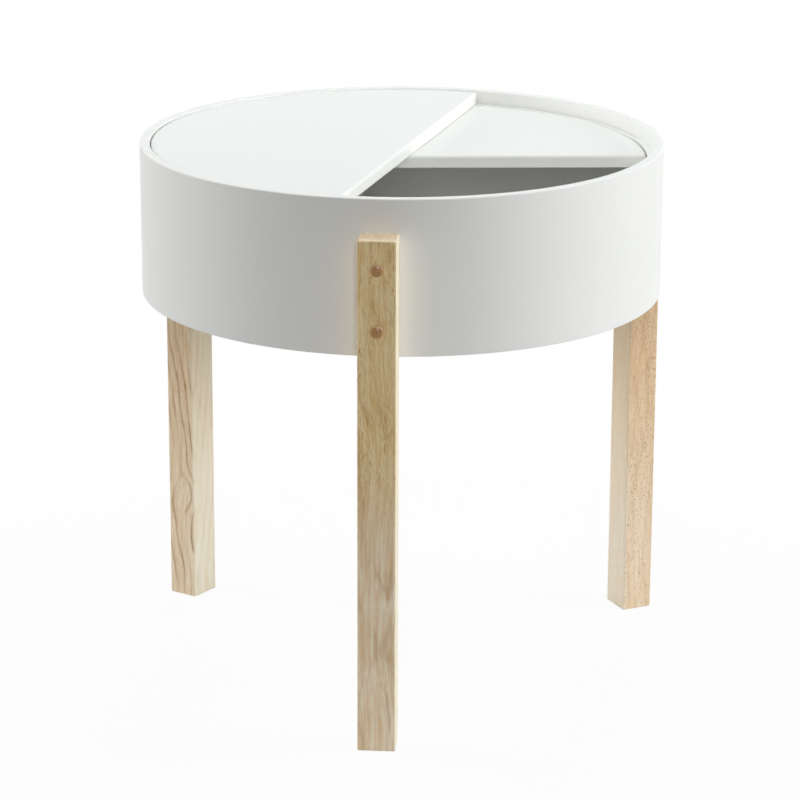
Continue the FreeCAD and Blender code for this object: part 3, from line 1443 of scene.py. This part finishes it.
@dataclass
class HalfMoonLid:
    """A loose half-moon board with a soft top edge and an eased underside.

    Attributes:
        shop: The workshop.
        body: The body that it is.
        radius: Its arc's radius.
        past_centre: How far its straight edge lies past the drum's axis.
        facing: The way its straight edge faces, in degrees.
        underside: Its underside's height.
    """

    shop: Workshop
    body: Body
    radius: float
    past_centre: float
    facing: float
    underside: float
    thickness: float = 12.0 * MM
    top_round: float = 3.0 * MM
    under_ease: float = 0.5 * MM
    corner_radius: float = 4.0 * MM
    arc_steps: int = 180
    corner_steps: int = 8
    round_steps: int = 6
    flat_margin: float = 0.4 * MM

    def _outline(self, inset: float) -> list[Flat]:
        """The lid's outline, drawn in by an inset, with its straight edge facing +X.

        Args:
            inset: How far it is drawn in.

        Returns:
            The points, counterclockwise from the straight edge's upper end to its lower end.
        """
        across = self.past_centre - self.corner_radius
        along = math.sqrt((self.radius - self.corner_radius) ** 2 - across**2)
        meeting = math.atan2(along, across)
        small = max(self.corner_radius - inset, 0.0)
        large = self.radius - inset
        upper = [
            (across + small * math.cos(angle), along + small * math.sin(angle))
            for angle in spread(0.0, meeting, self.corner_steps)
        ]
        sweep = spread(meeting, FULL_TURN - meeting, self.arc_steps)[1:-1]
        arc = [(large * math.cos(angle), large * math.sin(angle)) for angle in sweep]
        lower = [(x, -y) for x, y in reversed(upper)]
        return upper + arc + lower

    def board(self) -> bpy.types.Object:
        """The lid's board in its place.

        Returns:
            The board.
        """
        start = self.thickness - self.top_round
        rounding = quarter(self.top_round, self.round_steps)
        levels = [
            (self.under_ease + self.flat_margin, 0.0),
            (self.under_ease, 0.0),
            (0.0, self.under_ease),
            *((inset, start + rise) for inset, rise in rounding),
            (self.top_round + self.flat_margin, self.thickness),
        ]
        rings = [[(x, y, height) for x, y in self._outline(inset)] for inset, height in levels]
        board = lofted(f"{self.body.value}_board", rings, Ends.RUNGS)
        turn = math.radians(self.facing)
        return evened(placed(board, self.shop.datum.axis, turn, self.underside))

    def build(self) -> None:
        """Builds, dresses and hands over the lid."""
        self.shop.hand_over(self.board(), Slot.LACQUER, self.body.value, body=self.body)


@dataclass
class Leg:
    """A straight bar outside the drum, hollowed to the hoop, which stands on its shoulder.

    Attributes:
        shop: The workshop.
        place: Which leg it is.
        width: Its width along the hoop.
        thickness: How far it stands out from the hoop.
        shoulder: How far it reaches under the hoop.
        top: Its height.
        ease: The ease of its edges.
        ease_steps: Faces round an ease.
        back_steps: Faces across its back.
        middle: How far outside the hoop its board's middle lies.
    """

    shop: Workshop
    place: LegPlace
    width: float = 35.0 * MM
    thickness: float = 28.0 * MM
    shoulder: float = 3.0 * MM
    top: float = 483.6 * MM
    ease: float = 1.3 * MM
    ease_steps: int = 5
    back_steps: int = 14
    middle: float = 12.2 * MM

    def _outline(self, inset: float, hollowed: bool) -> list[Flat]:
        """The bar's section, drawn in by an inset.

        Args:
            inset: How far it is drawn in.
            hollowed: Whether its back follows the hoop.

        Returns:
            The section's points.
        """
        radius, half = self.shop.datum.radius, self.width / 2
        back = math.sqrt(radius**2 - half**2) - self.shoulder
        low, high = (back, -half), (radius + self.thickness, half)
        steps = (1, self.back_steps)
        outline = eased_rectangle(low, high, (self.ease,) * 4, inset, self.ease_steps, steps)
        if not hollowed:
            return outline
        return [(max(out, math.sqrt(radius**2 - side**2)), side) for out, side in outline]

    def bar(self, drill: bpy.types.Object) -> bpy.types.Object:
        """The bar in its place, bored for its fixings.

        Args:
            drill: The shape of all the fixings' holes.

        Returns:
            The bar.
        """
        ends = quarter(self.ease, self.ease_steps)
        base = self.shop.datum.base
        levels = [(inset, self.ease - rise, False) for inset, rise in reversed(ends)]
        levels += [(0.0, base, False), (0.0, base, True)]
        levels += [(inset, self.top - self.ease + rise, True) for inset, rise in ends]
        rings = [
            [(out, side, height) for out, side in self._outline(inset, hollowed)]
            for inset, height, hollowed in levels
        ]
        bar = lofted(f"{self.place.label}_bar", rings, Ends.CAPS)
        return evened(cut_out(placed(bar, self.shop.datum.axis, self.place.turn), drill))

    def finish(self) -> bpy.types.Material:
        """The leg's own board of wood, in the leg's own frame.

        Returns:
            The finish as a material.
        """
        turn, middle = self.place.turn, self.shop.datum.radius + self.middle
        centre = self.shop.datum.axis + Vector((math.cos(turn), math.sin(turn), 0.0)) * middle
        return replace(LEG_BOARDS[self.place], centre=tuple(centre), turn=turn).material()

    def build(self, drill: bpy.types.Object) -> None:
        """Builds, dresses and hands over the leg.

        Args:
            drill: The shape of all the fixings' holes.
        """
        node = f"{self.place.label}_leg"
        self.shop.hand_over(self.bar(drill), Slot.HARDWOOD, node, material=self.finish())


@dataclass
class Fixings:
    """What holds the legs to the hoop: plug, cap screw, washer and flanged nut, six of each."""

    shop: Workshop
    rows: tuple[str, str] = ("lower", "upper")
    lower_height: float = 400.5 * MM
    upper_height: float = 456.6 * MM
    leg_face: float = 278.0 * MM
    plug_seat: float = 270.0 * MM
    washer_seat: float = 263.0 * MM
    nut_seat: float = 240.367 * MM
    barrel_end: float = 248.5 * MM
    clearance: float = 0.1 * MM
    drill_overrun: Flat = (3.0 * MM, 2.0 * MM)
    plug_radius: float = 6.0 * MM
    plug_proud: float = 2.2 * MM
    plug_dome: float = 13.0 * MM
    plug_round: float = 1.0 * MM
    plug_steps: int = 8
    mouth_ease: float = 0.25 * MM
    bolt_radius: float = 3.0 * MM
    head_radius: float = 5.0 * MM
    head_height: float = 6.0 * MM
    head_ease: float = 0.5 * MM
    socket_flat: float = 2.5 * MM
    socket_depth: float = 3.0 * MM
    tip_gap: float = 1.0 * MM
    thread_pitch: float = 1.0 * MM
    thread_depth: float = 0.55 * MM
    thread_length: float = 7.0 * MM
    thread_steepness: float = 1.25
    loops_per_pitch: int = 8
    flange_radius: float = 8.0 * MM
    flange_thickness: float = 1.2 * MM
    flange_ease: float = 0.3 * MM
    notch_depth: float = 1.6 * MM
    notch_count: int = 4
    notch_half_angle: float = math.radians(11.0)
    notch_wall_angle: float = math.radians(2.5)
    barrel_radius: float = 4.0 * MM
    plug_sides: int = 72
    bolt_sides: int = 36
    nut_sides: int = 144

    def nodes(self, kind: str) -> list[str]:
        """The names of the six solids of one kind, such as "plug" or "nut"."""
        return [f"{leg.label}_{row}_{kind}" for leg in LegPlace for row in self.rows]

    def _everywhere(self, seed: bpy.types.Object, slot: Slot) -> bpy.types.Object:
        """Repeats a fixing at every leg on both levels.

        Args:
            seed: The fixing, facing +X at height 0.
            slot: The slot of its finish.

        Returns:
            The same object with six copies.
        """
        placed(seed, height=self.lower_height)
        step = self.upper_height - self.lower_height
        return self.shop.repeated(
            seed, slot, len(LegPlace), LegPlace.FRONT.turn, len(self.rows), step
        )

    def drill(self) -> bpy.types.Object:
        """The shape of all the holes through hoop and legs.

        Returns:
            The six stepped drills.
        """
        bore = self.bolt_radius + self.clearance
        barrel = self.barrel_radius + self.clearance
        wide = self.plug_radius + self.clearance
        start = self.nut_seat - self.drill_overrun[0]
        end = self.leg_face + self.drill_overrun[1]
        profile = [
            (start, 0.0),
            (start, barrel),
            (self.barrel_end, barrel),
            (self.barrel_end, bore),
            (self.washer_seat, bore),
            (self.washer_seat, wide),
            (self.leg_face - self.mouth_ease, wide),
            (self.leg_face, wide + self.mouth_ease),
            (end, wide + self.mouth_ease),
            (end, 0.0),
        ]
        return self._everywhere(turned("drill", profile, self.plug_sides), Slot.ZINC)

    def plugs(self) -> bpy.types.Object:
        """The turned buttons over the bolt heads.

        Returns:
            The six plugs.
        """
        dome_centre = self.leg_face + self.plug_proud - self.plug_dome
        edge = self.plug_radius - self.plug_round
        rise = math.sqrt((self.plug_dome - self.plug_round) ** 2 - edge**2)
        profile = [
            (self.plug_seat, 0.0),
            (self.plug_seat, self.plug_radius - self.mouth_ease),
            (self.plug_seat + self.mouth_ease, self.plug_radius),
            (self.leg_face, self.plug_radius),
        ]
        profile += [
            (
                dome_centre + rise + self.plug_round * math.sin(angle),
                edge + self.plug_round * math.cos(angle),
            )
            for angle in spread(0.0, math.atan2(rise, edge), self.plug_steps)
        ]
        profile += [
            (dome_centre + math.sqrt(self.plug_dome**2 - radius**2), radius)
            for radius in spread(profile[-1][1], 0.0, self.plug_steps)[1:]
        ]
        return evened(self._everywhere(turned("plugs", profile, self.plug_sides), Slot.PLUG))

    def _thread_radius(self, along: float, angle: float) -> float:
        """The thread's surface at a point of the bolt's tip.

        Args:
            along: Distance from the tip.
            angle: Angle round the bolt.

        Returns:
            The distance from the bolt's axis.
        """
        place = (along / self.thread_pitch - angle / FULL_TURN) % 1.0
        crest = min(1.0, self.thread_steepness * (1.0 - abs(2.0 * place - 1.0)))
        fade = min(1.0, max(0.0, (self.thread_length - along) / self.thread_pitch))
        surface = self.bolt_radius - self.thread_depth * (1.0 - crest) * fade
        return min(surface, self.bolt_radius - self.thread_depth + along)

    def _hexagon(self, angle: float) -> float:
        """The socket's wall at an angle."""
        sixth = math.pi / 3
        return self.socket_flat / math.cos((angle % sixth) - sixth / 2)

    def bolts(self) -> bpy.types.Object:
        """The cap screws: socket heads under the plugs, threaded tips in the nuts.

        Returns:
            The six bolts.
        """
        tip = self.nut_seat + self.tip_gap
        seat = self.plug_seat - self.head_height
        loops = round(self.thread_length / self.thread_pitch * self.loops_per_pitch)
        profile: list[tuple[float, float | RadiusAt]] = [
            (tip + along, partial(self._thread_radius, along))
            for along in spread(0.0, self.thread_length, loops)
        ]
        profile += [
            (seat, self.bolt_radius),
            (seat, self.head_radius),
            (self.plug_seat - self.head_ease, self.head_radius),
            (self.plug_seat, self.head_radius - self.head_ease),
            (self.plug_seat, self._hexagon),
            (self.plug_seat - self.socket_depth, self._hexagon),
        ]
        bolt = turned("cap_screws", profile, self.bolt_sides, Ends.CAPS)
        return self._everywhere(bolt, Slot.ZINC)

    def _flange(self, angle: float) -> float:
        """The nut flange's edge at an angle, cut back where its prongs are bent out.

        Args:
            angle: Angle round the nut.

        Returns:
            The distance from the nut's axis.
        """
        share = FULL_TURN / self.notch_count
        off = abs((angle % share) - share / 2)
        depth = min(1.0, max(0.0, (self.notch_half_angle - off) / self.notch_wall_angle))
        return self.flange_radius - self.notch_depth * depth

    def nuts(self) -> bpy.types.Object:
        """The closed nuts inside the hoop, notched where their prongs are bent into the wood.

        Returns:
            The six nuts.
        """
        face = self.nut_seat - self.flange_thickness
        bore = self.bolt_radius + self.clearance
        ease = self.flange_ease
        profile: list[tuple[float, float | RadiusAt]] = [
            (self.nut_seat, bore),
            (self.barrel_end - ease, bore),
            (self.barrel_end, bore + ease),
            (self.barrel_end, self.barrel_radius),
            (self.nut_seat, self.barrel_radius),
            (self.nut_seat, self._flange),
            (face + ease, self._flange),
            (face, lambda angle: self._flange(angle) - ease),
        ]
        nut = turned("flanged_nuts", profile, self.nut_sides, Ends.CAPS)
        return evened(self._everywhere(nut, Slot.PAINT))

    def build(self) -> None:
        """Builds, dresses and hands over the fixings."""
        self.shop.hand_over(self.plugs(), Slot.PLUG, *self.nodes("plug"))
        self.shop.hand_over(self.bolts(), Slot.ZINC, *self.nodes("bolt"))
        self.shop.hand_over(self.nuts(), Slot.PAINT, *self.nodes("nut"))
        for node in self.nodes("washer"):
            dressed(frame["nodes"][node], self.shop.finishes[Slot.ZINC])


@dataclass
class PanelScrews:
    """The countersunk screws up through the cleats into the bottom panel."""

    shop: Workshop
    count: int = 6
    circle: float = 231.5 * MM
    base: float = 371.5 * MM
    length: float = 16.0 * MM
    shank_radius: float = 1.75 * MM
    head_radius: float = 3.5 * MM
    head_ease: float = 0.15 * MM
    recess_reach: float = 2.0 * MM
    recess_half_width: float = 0.55 * MM
    recess_depth: float = 1.5 * MM
    recess_overrun: float = 0.5 * MM
    recess_taper: float = 0.45
    sides: int = 36

    def _recess(self) -> bpy.types.Object:
        """The tapered cross that is cut into the head.

        Returns:
            The cutting shape.
        """
        reach, half = self.recess_reach, self.recess_half_width
        cross: list[Flat] = []
        arm = [(reach, -half), (reach, half), (half, half)]
        for _ in range(4):
            cross += arm
            arm = [(-z, y) for y, z in arm]
        levels = ((-self.recess_overrun, 1.0), (self.recess_depth, self.recess_taper))
        rings = [[(along, y * share, z * share) for y, z in cross] for along, share in levels]
        return lofted("recess", rings, Ends.CAPS)

    def build(self) -> None:
        """Builds, dresses and hands over the screws."""
        sink = self.head_radius - self.shank_radius
        profile = [
            (0.0, 0.0),
            (0.0, self.head_radius - self.head_ease),
            (self.head_ease, self.head_radius),
            (sink, self.shank_radius),
            (self.length - sink, self.shank_radius),
            (self.length, 0.0),
        ]
        recess = self._recess()
        screw = cut_out(turned("panel_screws", profile, self.sides), recess)
        bpy.data.objects.remove(recess, do_unlink=True)
        upright = Matrix.Rotation(-QUARTER_TURN, 4, "Y")
        screw.data.transform(Matrix.Translation((self.circle, 0.0, self.base)) @ upright)
        turn = LegPlace.FRONT.turn + math.pi / self.count
        screws = self.shop.repeated(screw, Slot.ZINC, self.count, turn)
        nodes = [f"panel_screw_{place}" for place in range(1, self.count + 1)]
        self.shop.hand_over(screws, Slot.ZINC, *nodes)


# ------------------------------------------------------------------ the studio


@dataclass(frozen=True)
class SoftLamp:
    """A square soft lamp that looks at the table.

    Attributes:
        name: Its name.
        around: Its direction from the table, 0 in front and 90 to the right, in degrees.
        above: Its direction above the floor, in degrees.
        away: Its distance, in metres.
        size: Its side, in metres.
        watts: Its power.
        tint: Its colour.
    """

    name: str
    around: float
    above: float
    away: float
    size: float
    watts: float
    tint: Colour = WHITE

    def hang(self, target: Vector) -> None:
        """Adds the lamp to the scene.

        Args:
            target: What it looks at.
        """
        around, above = math.radians(self.around), math.radians(self.above)
        level = math.cos(above)
        outwards = Vector(
            (math.sin(around) * level, -math.cos(around) * level, math.sin(above))
        )
        light = bpy.data.lights.new(self.name, "AREA")
        light.shape = "SQUARE"
        light.size = self.size
        light.energy = self.watts
        light.color = self.tint
        lamp = bpy.data.objects.new(self.name, light)
        lamp.location = target + outwards * self.away
        lamp.rotation_euler = outwards.to_track_quat("Z", "Y").to_euler()
        lamp.visible_camera = False
        bpy.context.scene.collection.objects.link(lamp)


@dataclass
class Studio:
    """The camera, the pale floor, the white surroundings and the soft lamps.

    Lengths are in metres, the camera's turn, dip and roll in degrees, its lens in millimetres.
    """

    camera_place: Point = (0.23415, -2.98998, 1.17674)
    camera_turn: float = 4.4711
    camera_dip: float = 17.0323
    camera_roll: float = 0.1907
    camera_reach: float = 50.0
    lens: float = 144.772
    sensor: float = 36.0
    floor_radius: float = 12.0
    floor_sides: int = 96
    floor_colour: Colour = (0.85, 0.85, 0.85)
    room_colour: Colour = (0.25, 0.25, 0.25)
    floor_reach: Flat = (0.35, 1.1)
    shadow_share: float = 0.07
    shadow_reach: Flat = (0.32, 0.75)
    ambient: float = 0.01
    target: Point = (0.0, 0.0, 0.35)
    lamps: tuple[SoftLamp, ...] = (
        SoftLamp("front", 5.0, 20.0, 3.4, 0.9, 27.5),
        SoftLamp("right", 92.0, 15.0, 2.6, 1.0, 36.0, (0.97, 0.98, 1.0)),
        SoftLamp("right_high", 80.0, 48.0, 2.6, 1.0, 17.5, (0.94, 0.98, 1.0)),
        SoftLamp("left_high", -80.0, 48.0, 2.6, 1.0, 15.5, (0.97, 0.99, 1.0)),
        SoftLamp("left_rear", -105.0, 15.0, 2.6, 1.0, 30.5, (0.99, 0.99, 1.0)),
        SoftLamp("rear_top", 180.0, 60.0, 2.6, 1.0, 24.0, (0.94, 0.98, 1.0)),
    )

    def camera(self) -> None:
        """Sets the camera up."""
        turn, dip = math.radians(self.camera_turn), math.radians(self.camera_dip)
        level = math.cos(dip)
        ahead = Vector((-math.sin(turn) * level, math.cos(turn) * level, -math.sin(dip)))
        view = bpy.data.cameras.new("camera")
        view.lens = self.lens
        view.sensor_width = self.sensor
        view.clip_end = self.camera_reach
        camera = bpy.data.objects.new("camera", view)
        roll = Matrix.Rotation(math.radians(self.camera_roll), 3, "Z")
        camera.rotation_euler = (ahead.to_track_quat("-Z", "Y").to_matrix() @ roll).to_euler()
        camera.location = self.camera_place
        bpy.context.scene.collection.objects.link(camera)
        bpy.context.scene.camera = camera

    @staticmethod
    def _seen(graph: Graph) -> Signal:
        """Marks the rays that should meet a plain white studio.

        Args:
            graph: The graph to build in.

        Returns:
            1 for camera, glossy and transmission rays, otherwise 0.
        """
        path = graph.node("ShaderNodeLightPath")
        kinds = ("Is Camera Ray", "Is Glossy Ray", "Is Transmission Ray")
        return highest([Signal(graph, graph.find(path.outputs, kind)) for kind in kinds])

    def surroundings(self) -> None:
        """White to the eye and to reflections, and a plain ambient light to everything else."""
        world = bpy.data.worlds.new("surroundings")
        world.use_nodes = True
        graph = Graph(world.node_tree)
        light, white = (
            graph.add("ShaderNodeBackground", inputs={"Color": WHITE, "Strength": strength})
            for strength in (self.ambient, 1.0)
        )
        mixed = graph.add("ShaderNodeMixShader", inputs={0: self._seen(graph), 1: light, 2: white})
        graph.node("ShaderNodeOutputWorld", inputs={"Surface": mixed})
        bpy.context.scene.world = world

    def _floor_material(self) -> bpy.types.Material:
        """A pale floor that shows white, keeps a soft shadow at the feet and darkens further out.

        Returns:
            The finish as a material.
        """
        graph = FinishGraph("pale_floor")
        point = graph.add("ShaderNodeTexCoord", output="Object")
        reach = graph.vector_maths("LENGTH", point, output="Value")
        near = 1.0 - reach.between(*self.shadow_reach)
        shown = self._seen(graph) * (1.0 - near * self.shadow_share)
        colour = graph.blend(reach.between(*self.floor_reach), self.floor_colour, self.room_colour)
        matt = graph.add("ShaderNodeBsdfDiffuse", inputs={"Color": colour})
        glow = graph.add("ShaderNodeEmission", inputs={"Color": WHITE, "Strength": 1.0})
        mixed = graph.add("ShaderNodeMixShader", inputs={0: shown, 1: matt, 2: glow})
        graph.node("ShaderNodeOutputMaterial", inputs={"Surface": mixed})
        return graph.material

    def floor(self) -> None:
        """The floor, a wide disc at height 0 that faces up."""
        radius, angles = self.floor_radius, circle(self.floor_sides)
        edge = [(radius * math.cos(angle), radius * math.sin(angle), 0.0) for angle in angles]
        floor = drawn("floor", edge, faces=[range(self.floor_sides)])
        dressed(floor, self._floor_material())

    def build(self) -> None:
        """Builds the whole studio."""
        bpy.context.scene.view_settings.view_transform = "Standard"
        self.camera()
        self.surroundings()
        self.floor()
        for lamp in self.lamps:
            lamp.hang(Vector(self.target))
        log.info("studio: camera, floor and %d lamps", len(self.lamps))


def main() -> None:
    """Builds the table and its studio."""
    logging.basicConfig(level=logging.INFO, format="%(name)s: %(message)s")
    datum = Datum.of_frame()
    turns = tuple(place.turn for place in LegPlace)
    finishes = {
        Slot.LACQUER: SatinLacquer(),
        Slot.HARDWOOD: PaleHardwood("cleat_wood", seed=4.0),
        Slot.PLUG: TurnedButton(tuple(datum.axis), turns),
        Slot.ZINC: ZincPlate(),
        Slot.PAINT: SatinLacquer("white_nut_paint", peel_size=1.2),
    }
    materials = {slot: finish.material() for slot, finish in finishes.items()}
    shop = Workshop(datum, ring_sweep_plan(), ring_pattern_plan(), materials)
    Studio().build()
    fixings = Fixings(shop)
    drill = fixings.drill()
    drum = Drum(shop)
    drum.build(drill)
    HalfMoonLid(
        shop,
        Body.UPPER_LID,
        radius=239.5 * MM,
        past_centre=12.5 * MM,
        facing=-11.35,
        underside=drum.upper_ledge_top,
    ).build()
    HalfMoonLid(
        shop,
        Body.LOWER_LID,
        radius=233.5 * MM,
        past_centre=16.0 * MM,
        facing=-84.1,
        underside=drum.lower_ledge_top,
    ).build()
    for place in LegPlace:
        Leg(shop, place).build(drill)
    bpy.data.objects.remove(drill, do_unlink=True)
    fixings.build()
    PanelScrews(shop).build()


if __name__ == "__main__":
    main()
